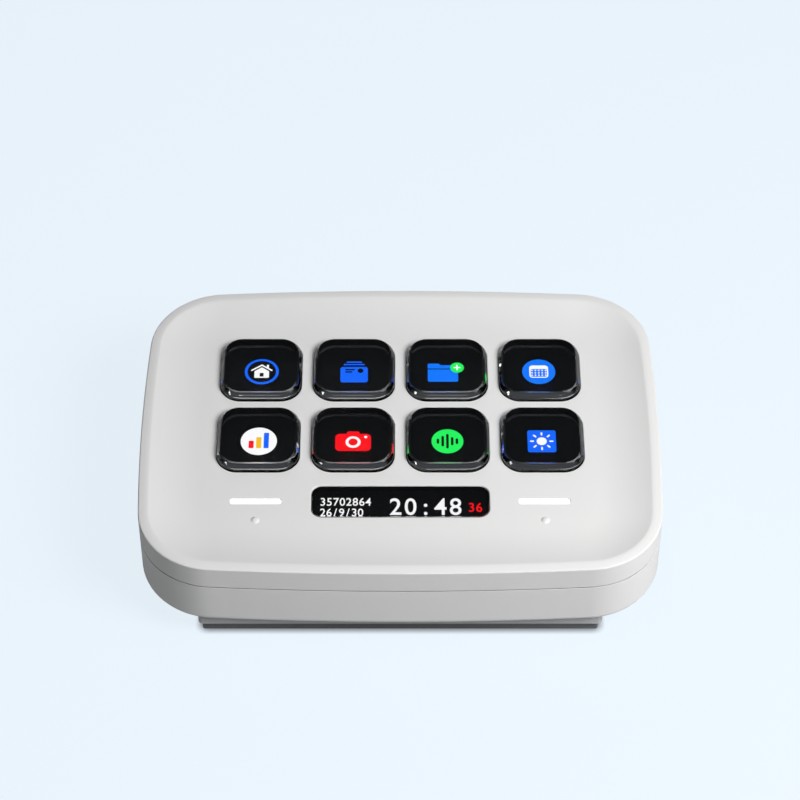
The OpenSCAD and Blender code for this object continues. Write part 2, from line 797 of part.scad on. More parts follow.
top_shell();
bottom_shell();
pedestal();
rubber_sole();
ballast_plate();
key_frame();
key_mat();
switch_film();
display_panel();
backlight();
display_tray();
info_window();
info_display();
light_pipe_left();
light_pipe_right();
touch_film();
touch_board();
touch_leds();
main_board();
board_chips();
ribbon_sockets();
display_ribbon();
switch_ribbon();
touch_ribbon();
usb_socket();
usb_tongue();
panel_screws();
board_screws();
case_screws();
key_cap(0);  // key_cap_1
key_cap(1);  // key_cap_2
key_cap(2);  // key_cap_3
key_cap(3);  // key_cap_4
key_cap(4);  // key_cap_5
key_cap(5);  // key_cap_6
key_cap(6);  // key_cap_7
key_cap(7);  // key_cap_8
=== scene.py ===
"""Dresses a desk macro keypad: moulded shells, clear sprung keys, lit displays, foot and stage."""

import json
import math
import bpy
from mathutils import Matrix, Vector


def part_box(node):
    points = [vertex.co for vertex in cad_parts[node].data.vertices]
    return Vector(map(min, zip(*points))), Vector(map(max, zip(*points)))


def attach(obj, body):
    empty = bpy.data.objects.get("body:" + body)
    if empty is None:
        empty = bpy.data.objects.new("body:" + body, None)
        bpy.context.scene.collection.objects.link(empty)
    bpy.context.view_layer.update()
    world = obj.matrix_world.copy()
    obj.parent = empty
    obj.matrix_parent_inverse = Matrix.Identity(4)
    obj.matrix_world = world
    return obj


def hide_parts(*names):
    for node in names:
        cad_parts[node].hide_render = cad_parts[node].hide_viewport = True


bl_info = {
    "name": "Macro keypad",
    "version": (1, 0, 0),
    "blender": (4, 5, 0),
    "location": "View3D > Sidebar > Keypad",
    "description": "Makes the shells, keys, displays, foot and stage of a desk macro keypad",
    "category": "Object",
}

from contextlib import contextmanager

import bmesh
import bpy
from bpy.props import FloatProperty, FloatVectorProperty, PointerProperty
from mathutils import Matrix, Vector

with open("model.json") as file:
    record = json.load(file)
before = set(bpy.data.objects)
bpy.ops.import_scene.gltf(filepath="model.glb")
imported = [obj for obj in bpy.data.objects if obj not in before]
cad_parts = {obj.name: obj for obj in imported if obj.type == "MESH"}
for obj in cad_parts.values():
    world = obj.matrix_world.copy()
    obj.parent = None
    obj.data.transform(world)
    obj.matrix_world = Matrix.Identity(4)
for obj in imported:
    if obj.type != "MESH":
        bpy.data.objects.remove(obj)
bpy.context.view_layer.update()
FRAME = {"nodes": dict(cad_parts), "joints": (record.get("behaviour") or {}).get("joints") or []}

MM = 0.001
ROOM = 0.1 * MM  # between pieces that slide in or lie against each other
OVER = 2 * MM  # how far a cutter or a blank reaches past what it cuts
PRESS_AXIS = FRAME["joints"][0]["axis"]
TILT = math.atan2(PRESS_AXIS[1], -PRESS_AXIS[2])
COLUMNS = 4
ROWS = 2
SMOOTH_ANGLE = math.radians(32)


# ---- sizes and colours


def linear(code):
    """Linear colour of an sRGB hex code."""
    parts = [int(code[i : i + 2], 16) / 255 for i in (1, 3, 5)]
    return tuple(c / 12.92 if c <= 0.04045 else ((c + 0.055) / 1.055) ** 2.4 for c in parts)


def length(name, description, millimetres):
    return FloatProperty(
        name=name, description=description, default=millimetres * MM, unit="LENGTH", precision=5
    )


def colour(name, description, code):
    return FloatVectorProperty(
        name=name, description=description, default=linear(code), subtype="COLOR", min=0, max=1
    )


def share(name, description, default):
    return FloatProperty(name=name, description=description, default=default, min=0, max=1)


class KeypadCase(bpy.types.PropertyGroup):
    """Sizes of the two shells"""

    width: length("Width", "Width of the case", 107)
    depth: length("Depth", "Depth of the case along its face", 78)
    thickness: length("Thickness", "From the edge of the rim to the underside", 16.6)
    bow_long: length("Long bow", "Bow of the front and back sides", 2.1)
    bow_short: length("Short bow", "Bow of the left and right sides", 1.75)
    corner: length("Corner", "Radius of the corners", 15.6)
    bottom_round: length("Bottom edge", "Radius of the bottom edge", 1.5)
    edge_round: length("Rim edge", "Radius of the rim's outer edge", 0.35)
    wall: length("Wall", "Thickness of the side walls", 2)
    floor: length("Floor", "Thickness of the case floor", 2)
    seam_drop: length("Seam drop", "Depth of the seam below the rim's edge", 5.6)
    seam_gap: length("Seam gap", "Width of the seam", 0.25)
    seam_round: length("Seam edge", "Radius of the edges along the seam", 0.06)
    groove: length("Groove", "Depth of the dark groove behind the seam", 0.8)
    lap: length("Lap", "Height of the lap joint behind the seam", 1.2)


class KeypadFace(bpy.types.PropertyGroup):
    """Sizes of the dished face"""

    band: length("Band", "Width of the rim's band", 1.8)
    rise: length("Rise", "Rise of the band to its crest", 0.2)
    crest_out: length("Crest, outer side", "Reach of the crest's rounding into the band", 1.2)
    crest_in: length("Crest, inner side", "Reach of the crest's rounding into the dish", 0.45)
    dish: length("Dish", "Depth of the dish below the rim's edge", 1.6)
    run: length("Run", "Run of the dish's curved border", 10.6)
    skin: length("Skin", "Thickness of the face", 1.8)
    field_skin: length("Field skin", "Thickness of the face over the key field", 1)
    mouth_round: length("Mouth edge", "Radius round the openings' upper edges", 0.22)


class KeypadKeys(bpy.types.PropertyGroup):
    """Sizes of the keys"""

    pitch: length("Pitch", "Distance between neighbouring keys", 19.52)
    opening: length("Opening", "Side of a key's opening", 17.17)
    opening_corner: length("Opening corner", "Corner radius of a key's opening", 4.5)
    gap: length("Gap", "Gap between a key and its opening", 0.15)
    proud: length("Proud", "Height of the keys above the dish", 1.8)
    slope: length("Slope", "Width of the sloped border round a key's top", 0.9)
    slope_drop: length("Slope drop", "Drop of that border", 1.1)
    swell: length("Swell", "Swell of that border over a straight slope", 0.1)
    edge: length("Edge", "Rounding between that border and the top", 0.6)
    lip: length("Lip", "Width of the lip that holds a key in", 0.65)
    lip_height: length("Lip height", "Thickness of that lip", 0.55)
    lens: length("Lens", "Depth of the lens under the lip", 0.3)
    middle: length("Middle", "Middle of the keys, behind the middle of the face", 7.12)
    glass_drop: length("Glass drop", "Depth of the display glass below the rim's edge", 4.55)
    picture_lead: length("Picture lead", "Shift of the pictures to the back on the glass", 0.8)


class KeypadInfo(bpy.types.PropertyGroup):
    """Sizes of the info window, the light bars and the touch dots"""

    width: length("Width", "Width of the info window", 36.2)
    depth: length("Depth", "Depth of the info window", 8.4)
    corner: length("Corner", "Corner radius of the info window", 2.2)
    forward: length("Forward", "Middle of the window, in front of the middle of the face", 18.94)
    sink: length("Sink", "Depth of the lens below the dish", 0.15)
    lip: length("Lip", "Width of the lens's lip", 1.3)
    lip_height: length("Lip height", "Thickness of the lens's lip", 0.7)
    bar_width: length("Bar width", "Length of a light bar", 10.5)
    bar_depth: length("Bar depth", "Width of a light bar", 1.5)
    bar_corner: length("Bar corner", "Corner radius of a light bar", 0.6)
    dot: length("Dot", "Radius of a touch dot", 0.9)
    dot_height: length("Dot height", "Height of a touch dot", 0.35)
    dot_step: length("Dot step", "Distance of a dot in front of its bar", 5)


class KeypadFoot(bpy.types.PropertyGroup):
    """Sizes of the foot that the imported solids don't give"""

    corner: length("Corner", "Corner radius of the foot", 1)
    edge: length("Edge", "Rounding of the foot's lower edge", 0.12)
    sole_corner: length("Sole corner", "Corner radius of the sole", 0.5)
    sole_edge: length("Sole edge", "Rounding of the sole's edges", 0.15)


class KeypadColours(bpy.types.PropertyGroup):
    """Colours of the finishes"""

    case: colour("Case", "Moulded case", "#ECECEB")
    # the foot's colour is darker than its plastic's own: painted shade from the case above it
    foot: colour("Foot", "Moulded foot", "#C2C4C5")
    # the sole's colour is partly its rubber's own and partly painted shade from the case above it
    sole: colour("Sole", "Rubber sole", "#6B6E70")
    blue: colour("Blue", "Blue of the pictures", "#0066FF")
    sky: colour("Sky blue", "Lighter blue of the pictures", "#0078FF")
    red: colour("Red", "Red of the pictures", "#FF0010")
    green: colour("Green", "Green of the pictures", "#1FF55E")
    white: colour("White", "White of the pictures", "#FFFFFF")
    yellow: colour("Yellow", "Yellow of the pictures", "#FBC21A")


class KeypadStage(bpy.types.PropertyGroup):
    """Camera, floor and lamps"""

    backdrop: colour("Backdrop", "Floor and backdrop", "#EDF7FF")
    look_down: FloatProperty(
        name="Look down",
        description="Camera's angle below the horizon",
        default=math.radians(45.302),
        subtype="ANGLE",
    )
    distance: length("Distance", "Camera to the middle of the face", 599.31)
    raised: length("Raised", "Camera's shift along its own up", 5.3385)
    aside: length("Aside", "Camera's shift to its left", 0.057)
    lens: FloatProperty(name="Lens", description="Focal length in millimetres", default=130.49)
    bounce: share("Bounce", "Share of light that the floor throws on the object", 0.38)
    glow: share("Glow", "Share of the floor's look that takes no shadow", 0.9)
    # the floor's darker edge is painted shade: ambient occlusion dims the floor's own colour
    contact_shade_reach: length("Contact", "Reach of the darker edge round what stands on the floor", 1.7)


class KeypadSettings(bpy.types.PropertyGroup):
    """Everything that the panel lists"""

    case: PointerProperty(type=KeypadCase)
    face: PointerProperty(type=KeypadFace)
    keys: PointerProperty(type=KeypadKeys)
    info: PointerProperty(type=KeypadInfo)
    foot: PointerProperty(type=KeypadFoot)
    colours: PointerProperty(type=KeypadColours)
    stage: PointerProperty(type=KeypadStage)


def settings():
    return bpy.context.scene.keypad


# ---- places on the face


def face_place():
    """Face frame in the part's frame: x right, y to the back along the face, z out of the face."""
    s = settings()
    low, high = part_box("display_panel")
    glass = low.lerp(high, 0.5)
    turn = Matrix.Rotation(TILT, 4, "X")
    # the panel's thickness, from its box: height = depth * sin + thickness * cos
    depth_box = high.y - low.y
    height_box = high.z - low.z
    thick = (height_box * math.cos(TILT) - depth_box * math.sin(TILT)) / math.cos(2 * TILT)
    middle = Vector((0, s.keys.middle, -s.keys.glass_drop - thick / 2))
    return Matrix.Translation(glass - turn @ middle) @ turn


def face_box(*names):
    """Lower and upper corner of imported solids, measured along the face."""
    back = face_place().inverted()
    points = [back @ v.co for name in names for v in FRAME["nodes"][name].data.vertices]
    return [Vector(end(p[i] for p in points) for i in range(3)) for end in (min, max)]


def key_place(index):
    """Middle of a key on the face."""
    keys = settings().keys
    column = index % COLUMNS - (COLUMNS - 1) / 2
    row = (ROWS - 1) / 2 - index // COLUMNS
    return Vector((column * keys.pitch, keys.middle + row * keys.pitch, 0))


def bar_places():
    s = settings()
    reach = (COLUMNS - 1) / 2 * s.keys.pitch
    return [Vector((side * reach, -s.info.forward, 0)) for side in (-1, 1)]


def dish(inset):
    """Height of the face at an inset from the outline."""
    face = settings().face
    left = (face.band + face.run - inset) / face.run
    return -face.dish + (face.rise + face.dish) * max(0, min(left, 1)) ** 2


def crest():
    """Rings of the rounded crest, from the band into the dish."""
    face, edge = settings().face, settings().case.edge_round
    outer = face.band - face.crest_out
    inner = face.band + face.crest_in
    start = Vector((outer, face.rise * (outer - edge) / (face.band - edge)))
    peak = Vector((face.band, face.rise))
    end = Vector((inner, dish(inner)))
    steps = 8
    turns = [k / steps for k in range(steps + 1)]
    points = [start * (1 - t) ** 2 + peak * 2 * t * (1 - t) + end * t**2 for t in turns]
    return [(outline(p.x), p.y) for p in points]


def arc(centre, radius, start, end, steps):
    """Points along an arc, without its last."""
    turns = [start + (end - start) * k / steps for k in range(steps)]
    return [centre + radius * Vector((math.cos(a), math.sin(a))) for a in turns]


def outline(inset):
    """Bowed outline at an inset: long arcs that run smoothly into corner arcs, anticlockwise."""
    case = settings().case
    half_w, half_d, corner = case.width / 2, case.depth / 2, case.corner
    long_r = (half_w**2 + case.bow_long**2) / (2 * case.bow_long)
    short_r = (half_d**2 + case.bow_short**2) / (2 * case.bow_short)
    long_c = Vector((0, half_d - long_r))
    short_c = Vector((half_w - short_r, 0))
    gap = (short_c - long_c).length
    along = (gap**2 + (long_r - corner) ** 2 - (short_r - corner) ** 2) / (2 * gap)
    across = math.sqrt((long_r - corner) ** 2 - along**2)
    way = (short_c - long_c) / gap
    corner_c = long_c + way * along + Vector((way.y, -way.x)) * across
    short_end = math.atan2(corner_c.y - short_c.y, corner_c.x - short_c.x)
    long_end = math.atan2(corner_c.y - long_c.y, corner_c.x - long_c.x)
    quarter = (
        arc(short_c, short_r - inset, 0, short_end, steps=12)
        + arc(corner_c, corner - inset, short_end, long_end, steps=24)
        + arc(long_c, long_r - inset, long_end, math.pi / 2, steps=16)
        + [Vector((0, half_d - inset))]
    )
    back = quarter + [Vector((-p.x, p.y)) for p in quarter[-2:0:-1]]
    return back + [-p for p in back]


def rounded(width, depth, corner, steps=8):
    """Rounded rectangle round the origin, anticlockwise."""
    points = []
    for turn, (x, y) in enumerate(((1, 1), (-1, 1), (-1, -1), (1, -1))):
        centre = Vector((x * (width / 2 - corner), y * (depth / 2 - corner)))
        start = turn * math.pi / 2
        points += [
            centre + corner * Vector((math.cos(start + a), math.sin(start + a)))
            for a in [math.pi / 2 * k / steps for k in range(steps + 1)]
        ]
    return points


def filleted(path, radii, steps=5):
    """Path with an arc of the given radius in place of each inner corner; 0 leaves the corner."""
    points = [Vector(path[0])]
    for index in range(1, len(path) - 1):
        before, corner, after = (Vector(path[index + k]) for k in (-1, 0, 1))
        radius = radii[index]
        if not radius:
            points.append(corner)
            continue
        back, ahead = (before - corner).normalized(), (after - corner).normalized()
        half = back.angle(ahead) / 2
        reach = radius / math.tan(half)
        centre = corner + (back + ahead).normalized() * (radius / math.sin(half))
        start, end = corner + back * reach - centre, corner + ahead * reach - centre
        points += [
            centre + start.slerp(end, k / steps, start).normalized() * radius for k in range(steps + 1)
        ]
    return points + [Vector(path[-1])]


def quarter_round(radius, steps):
    """Steps of a rounded edge as pairs of (pulled in, raised), from upright to flat."""
    turns = [math.pi / 2 * k / steps for k in range(steps + 1)]
    return [(radius * (1 - math.cos(a)), radius * math.sin(a)) for a in turns]


def lower_round(radius, steps):
    """Steps of a rounded lower edge as pairs of (pulled in, raised), from flat to upright."""
    return [(pulled, radius - raised) for pulled, raised in reversed(quarter_round(radius, steps))]


def edge_rings(edge, level):
    """Rings of the case along a rounded edge that starts at a level."""
    return [(outline(pulled), level + raised) for pulled, raised in edge]


def case_underside():
    """Rings of the case's underside and its rounded edge."""
    case = settings().case
    return edge_rings(lower_round(case.bottom_round, 8), -case.thickness)


# ---- modelling


def deselect():
    bpy.ops.object.select_all(action="DESELECT")


def pick(obj):
    deselect()
    obj.select_set(True)
    bpy.context.view_layer.objects.active = obj


@contextmanager
def editing(action="SELECT"):
    """Edit mode on the active mesh, with all of it selected or none."""
    bpy.ops.object.mode_set(mode="EDIT")
    bpy.ops.mesh.select_all(action=action)
    yield
    bpy.ops.object.mode_set(mode="OBJECT")


def skin(name, rings):
    """Closed skin: a circle is added, extruded from ring to ring, and both ends are filled.
    A ring is (points, height)."""
    deselect()
    count = len(rings[0][0])
    bpy.ops.mesh.primitive_circle_add(vertices=count, radius=MM)
    obj = bpy.context.object
    obj.name = name
    with editing():
        mesh = bmesh.from_edit_mesh(obj.data)
        seats = mesh.verts.layers.int.new("seat")
        for index, vertex in enumerate(mesh.verts):
            vertex[seats] = index
        for step, (points, height) in enumerate(rings):
            if step:
                bpy.ops.mesh.extrude_edges_indiv()
            mesh = bmesh.from_edit_mesh(obj.data)
            seats = mesh.verts.layers.int["seat"]
            for vertex in mesh.verts:
                if vertex.select:
                    point = points[vertex[seats]]
                    vertex.co = (point[0], point[1], height)
            bmesh.update_edit_mesh(obj.data)
        bpy.ops.mesh.select_all(action="SELECT")
        bpy.ops.mesh.fill_holes(sides=0)
        bpy.ops.mesh.normals_make_consistent(inside=False)
    obj.data.attributes.remove(obj.data.attributes["seat"])
    return obj


def column(name, width, depth, corner, levels, at=(0, 0), steps=8):
    """Upright piece with rounded corners. A level is (how much it grows on each side, height)."""
    middle = Vector(at[:2])
    rings = [
        ([p + middle for p in rounded(width + 2 * grow, depth + 2 * grow, corner + grow, steps)], height)
        for grow, height in levels
    ]
    return skin(name, rings)


def join(name, objects):
    """Joins objects into the first and settles its place in its mesh."""
    pick(objects[0])
    for obj in objects[1:]:
        obj.select_set(True)
    if len(objects) > 1:
        bpy.ops.object.join()
    obj = bpy.context.object
    obj.name = name
    obj.data.name = name
    bpy.ops.object.transform_apply(location=True, rotation=True, scale=True)
    return obj


def ink(obj, low, high):
    """Prints the faces between two heights black, from behind, as on the edge of a clear moulding."""
    obj.data.materials.append(mask_ink())
    for face in obj.data.polygons:
        if low < face.center.z < high:
            face.material_index = 1


def facet(obj):
    """Splits faces of many sides into triangles, which keeps cuts through them clean."""
    pick(obj)
    with editing("DESELECT"):
        bpy.ops.mesh.select_face_by_sides(number=4, type="GREATER", extend=False)
        bpy.ops.mesh.quads_convert_to_tris(ngon_method="BEAUTY")


def combine(obj, tool, operation):
    """Applies a boolean with a tool object and removes the tool."""
    facet(obj)
    facet(tool)
    modifier = obj.modifiers.new(operation.lower(), "BOOLEAN")
    modifier.operation = operation
    modifier.solver = "EXACT"
    modifier.object = tool
    pick(obj)
    bpy.ops.object.modifier_apply(modifier=modifier.name)
    bpy.data.objects.remove(tool)
    facet(obj)
    if not obj.data.polygons:
        raise RuntimeError(f"{obj.name} was cut away")


def settle(obj, place=None):
    """Shades a piece and puts it in place in its mesh."""
    if place is not None:
        obj.data.transform(place)
    pick(obj)
    bpy.ops.object.shade_smooth_by_angle(angle=SMOOTH_ANGLE)
    weighted = obj.modifiers.new("weighted", "WEIGHTED_NORMAL")
    weighted.keep_sharp = True
    bpy.ops.object.modifier_apply(modifier=weighted.name)
    return obj


# ---- finishes


def add(tree, kind, inputs=None, **choices):
    """Adds a shader node with its choices; an input is a value, or a socket to link."""
    made = tree.nodes.new("ShaderNode" + kind)
    for name, value in choices.items():
        setattr(made, name, value)
    for name, value in (inputs or {}).items():
        if isinstance(value, bpy.types.NodeSocket):
            tree.links.new(value, made.inputs[name])
        else:
            made.inputs[name].default_value = value
    return made


def blank(name):
    """Material without nodes, and its tree."""
    material = bpy.data.materials.new(name)
    material.use_nodes = True
    material.node_tree.nodes.clear()
    return material, material.node_tree


def opaque(rgb):
    return (*rgb[:3], 1)


def procedural(build):
    """Makes a material of a function that gives the inputs of its shader. A second call with the same
    name gives the first material back."""

    def make(name, *values, **named):
        found = bpy.data.materials.get(name)
        if found:
            return found
        material, tree = blank(name)
        place = add(tree, "TexCoord").outputs["Object"]
        shader = add(tree, "BsdfPrincipled", build(tree, place, *values, **named))
        add(tree, "OutputMaterial", {"Surface": shader.outputs[0]})
        return material

    return make


@procedural
def grain(tree, place, rgb, roughness, size, depth, spread=0.03, specular=0.5):
    """Surface with an even grain: its colour and gloss wander a little, and the grain is in relief.
    Size and depth are the grain's own, in metres."""
    patch = 16.667 * MM  # size of the patches that differ a little in colour
    fine = add(tree, "TexNoise", {"Vector": place, "Scale": 1 / size, "Detail": 2}).outputs["Fac"]
    broad = add(tree, "TexNoise", {"Vector": place, "Scale": 1 / patch, "Detail": 1}).outputs["Fac"]
    tint = {
        "Factor": broad,
        "A": opaque([c * (1 - spread) for c in rgb]),
        "B": opaque([min(1, c * (1 + spread)) for c in rgb]),
    }
    gloss = {"Value": fine, "To Min": roughness * 0.9, "To Max": min(1, roughness * 1.1)}
    relief = {"Height": fine, "Strength": 0.4, "Distance": depth}
    return {
        "Base Color": add(tree, "Mix", tint, data_type="RGBA").outputs["Result"],
        "Roughness": add(tree, "MapRange", gloss).outputs["Result"],
        "Normal": add(tree, "Bump", relief).outputs["Normal"],
        "Specular IOR Level": specular,
    }


@procedural
def clear_polycarbonate(tree, place, rgb, roughness=0.02):
    """Polished clear moulding: high gloss with faint flow marks, and it bends what lies behind."""
    mark = 4 * MM  # size of a flow mark
    flow = add(tree, "TexNoise", {"Vector": place, "Scale": 1 / mark, "Detail": 2}).outputs["Fac"]
    gloss = {"Value": flow, "To Min": 0, "To Max": roughness}
    return {
        "Base Color": opaque(rgb),
        "Roughness": add(tree, "MapRange", gloss).outputs["Result"],
        "IOR": 1.585,
        "Transmission Weight": 1,
    }


@procedural
def lit_pixels(tree, place, rgb, strength=1.15):
    """Lit area of a display: its own light, with the faint grid between the pixels."""
    pitch = 0.13 * MM
    bricks = {
        "Vector": place,
        "Scale": 1,
        "Brick Width": pitch,
        "Row Height": pitch,
        "Mortar Size": pitch * 0.06,
        "Color1": opaque(rgb),
        "Color2": opaque(rgb),
        "Mortar": opaque([c * 0.8 for c in rgb]),
    }
    return {
        "Base Color": opaque(linear("#1A1A1A")),
        "Roughness": 0.3,
        "Emission Color": add(tree, "TexBrick", bricks, offset=0, squash=1).outputs["Color"],
        "Emission Strength": strength,
        "Specular IOR Level": 0.2,
    }


@procedural
def light_diffuser(tree, place, code, strength):
    """Milky polycarbonate with a lamp behind it: a glow that wanders a little."""
    cloud = 2.5 * MM  # size of a cloud in the milky plastic
    milk = add(tree, "TexNoise", {"Vector": place, "Scale": 1 / cloud, "Detail": 2}).outputs["Fac"]
    glow = {"Value": milk, "To Min": strength * 0.95, "To Max": strength * 1.05}
    return {
        "Base Color": opaque(linear(code)),
        "Roughness": 0.35,
        "Emission Color": opaque(linear(code)),
        "Emission Strength": add(tree, "MapRange", glow).outputs["Result"],
    }


@procedural
def tracked(tree, place, base, track, pitch, roughness):
    """Laminate with straight etched tracks under its lacquer, one each pitch. They are drawn coarser
    than real ones, which are too fine to show."""
    repeat = math.pi / 10  # of a wave texture at scale 1
    wave = {"Vector": place, "Scale": repeat / pitch, "Distortion": 0}
    bands = add(tree, "TexWave", wave, bands_direction="X").outputs["Fac"]
    edges = {"Value": bands, "From Min": 0.45, "From Max": 0.6}
    steps = add(tree, "MapRange", edges).outputs["Result"]
    tint = {"Factor": steps, "A": opaque(linear(base)), "B": opaque(linear(track))}
    relief = {"Height": steps, "Strength": 0.3, "Distance": 0.02 * MM}
    return {
        "Base Color": add(tree, "Mix", tint, data_type="RGBA").outputs["Result"],
        "Roughness": roughness,
        "Normal": add(tree, "Bump", relief).outputs["Normal"],
    }


@procedural
def brushed(tree, place, code, roughness, scratch):
    """Rolled or drawn steel: fine scratches along one way, which draw the highlight out."""
    stretched = {"Vector": place, "Scale": (1 / scratch, 0.02 / scratch, 1 / scratch)}
    along = add(tree, "Mapping", stretched).outputs["Vector"]
    lines = add(tree, "TexNoise", {"Vector": along, "Scale": 1, "Detail": 3}).outputs["Fac"]
    gloss = {"Value": lines, "To Min": roughness * 0.7, "To Max": roughness * 1.3}
    relief = {"Height": lines, "Strength": 0.2, "Distance": 0.01 * MM}
    return {
        "Base Color": opaque(linear(code)),
        "Metallic": 1,
        "Roughness": add(tree, "MapRange", gloss).outputs["Result"],
        "Normal": add(tree, "Bump", relief).outputs["Normal"],
    }


def case_plastic():
    """ABS, spark-eroded in the mould: matt, with a grain too fine to tell from a step away."""
    return grain("moulded_abs", settings().colours.case, 0.52, 0.3 * MM, 0.006 * MM, spread=0.006)


def shaded_foot_plastic():
    """The same ABS, a little rougher in a plainer part of the mould; darker as painted shade."""
    return grain("moulded_abs_foot", settings().colours.foot, 0.6, 0.35 * MM, 0.01 * MM, spread=0.01)


def sole_rubber():
    """Non-slip silicone rubber: dull, with a soft cast grain; its mid grey is part own colour, part
    painted shade.
    """
    return grain("cast_rubber", settings().colours.sole, 0.82, 0.5 * MM, 0.03 * MM, spread=0.05)


def mask_ink():
    """Screen-printed black round the edges of the clear mouldings: dead matt, hides what is under it."""
    return grain("mask_ink", linear("#040405"), 0.7, 0.2 * MM, 0.0005 * MM, specular=0.1)


def key_plastic():
    """Polished clear polycarbonate."""
    return clear_polycarbonate("clear_polycarbonate", linear("#FCFCFD"))


def lens_plastic():
    """The same with a light smoke tint, so the dark display shows no outline."""
    return clear_polycarbonate("smoked_polycarbonate", linear("#F6F6F7"))


# ---- pieces


def cutter(width, depth, corner, at, radius, steps=8):
    """Tool that cuts an opening in the face and leaves a rounded upper edge round it."""
    s = settings()
    level, clear = -s.face.dish, 0.002 * MM
    flare = [(pulled, level - radius + raised + clear) for pulled, raised in quarter_round(radius, 5)]
    levels = [(0, -s.case.seam_drop)] + flare + [(radius, level + OVER)]
    return column("cutter", width, depth, corner, levels, at, steps)


class KEYPAD_OT_top_shell(bpy.types.Operator):
    """Makes the dished upper shell with its openings, light slots and touch dots"""

    bl_idname = "keypad.top_shell"
    bl_label = "Top shell"

    def execute(self, context):
        s = settings()
        case, face, keys, info = s.case, s.face, s.keys, s.info
        seam = -case.seam_drop
        lap_in = case.wall / 2 + ROOM
        under, over = 10, 28  # rings of the dish on the inside and the outside
        past_crest = 2  # first of the outer ones, past the crest's rounding
        reach = face.band + face.run - case.wall
        insets = [case.wall + reach * k / under for k in range(under, -1, -1)]
        ceiling = [(outline(i), dish(i) - face.skin) for i in insets]
        wall = [
            (outline(case.wall), seam + case.lap),
            (outline(lap_in), seam + case.lap),
            (outline(lap_in), seam),
        ]
        lower = edge_rings(lower_round(case.seam_round, 3), seam)
        upper = edge_rings(quarter_round(case.edge_round, 5), -case.edge_round)
        insets = [face.band + face.run * k / over for k in range(past_crest, over + 1)]
        bowl = crest() + [(outline(i), dish(i)) for i in insets]
        shell = skin("top_cover", ceiling + wall + lower + upper + bowl)
        shell.data.materials.append(case_plastic())
        dots = [self.dot(place - Vector((0, info.dot_step, 0))) for place in bar_places()]
        combine(shell, join("dots", dots), "UNION")

        # room under the face for the key frame and the touch film
        side_room, front_room, back_room, corner = 0.4 * MM, 0.4 * MM, 0.2 * MM, 2 * MM
        low, high = face_box("key_frame", "touch_film")
        low.y -= front_room
        high.y += back_room
        pocket = column(
            "pocket",
            2 * (high.x + side_room),
            high.y - low.y,
            corner,
            [(0, seam), (0, -face.dish - face.field_skin)],
            at=(0, (high.y + low.y) / 2),
        )
        combine(shell, pocket, "DIFFERENCE")

        side, mouth = keys.opening, face.mouth_round
        tools = [
            cutter(side, side, keys.opening_corner, key_place(index), mouth, steps=10)
            for index in range(COLUMNS * ROWS)
        ]
        tools.append(cutter(info.width, info.depth, info.corner, (0, -info.forward), mouth))
        tools += [
            cutter(info.bar_width, info.bar_depth, info.bar_corner, place, mouth / 2)
            for place in bar_places()
        ]
        combine(shell, join("mouths", tools), "DIFFERENCE")

        settle(shell)
        self.flatten(shell, -face.dish)
        shell.data.transform(face_place())
        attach(shell, "housing")
        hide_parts("top_shell")
        return {"FINISHED"}

    def flatten(self, shell, level):
        """Straightens the shading normals on the flat field, so the cuts in it leave no marks."""
        mesh = shell.data
        near, upright = 0.001 * MM, 0.9999
        normals = [corner.vector.copy() for corner in mesh.corner_normals]
        for face in mesh.polygons:
            if abs(face.center.z - level) < near and face.normal.z > upright:
                for corner in face.loop_indices:
                    normals[corner] = Vector((0, 0, 1))
        mesh.normals_split_custom_set(normals)

    def dot(self, place):
        """Low dome: a ball with all but its cap cut away."""
        s = settings()
        radius, height = s.info.dot, s.info.dot_height
        ball = (radius**2 + height**2) / (2 * height)
        level = -s.face.dish
        buried = 0.3 * MM
        deselect()
        bpy.ops.mesh.primitive_uv_sphere_add(
            segments=48, ring_count=64, radius=ball, location=(place.x, place.y, level + height - ball)
        )
        obj = bpy.context.object
        with editing():
            bpy.ops.mesh.bisect(
                plane_co=(0, 0, level - buried), plane_no=(0, 0, 1), use_fill=True, clear_inner=True
            )
        return obj


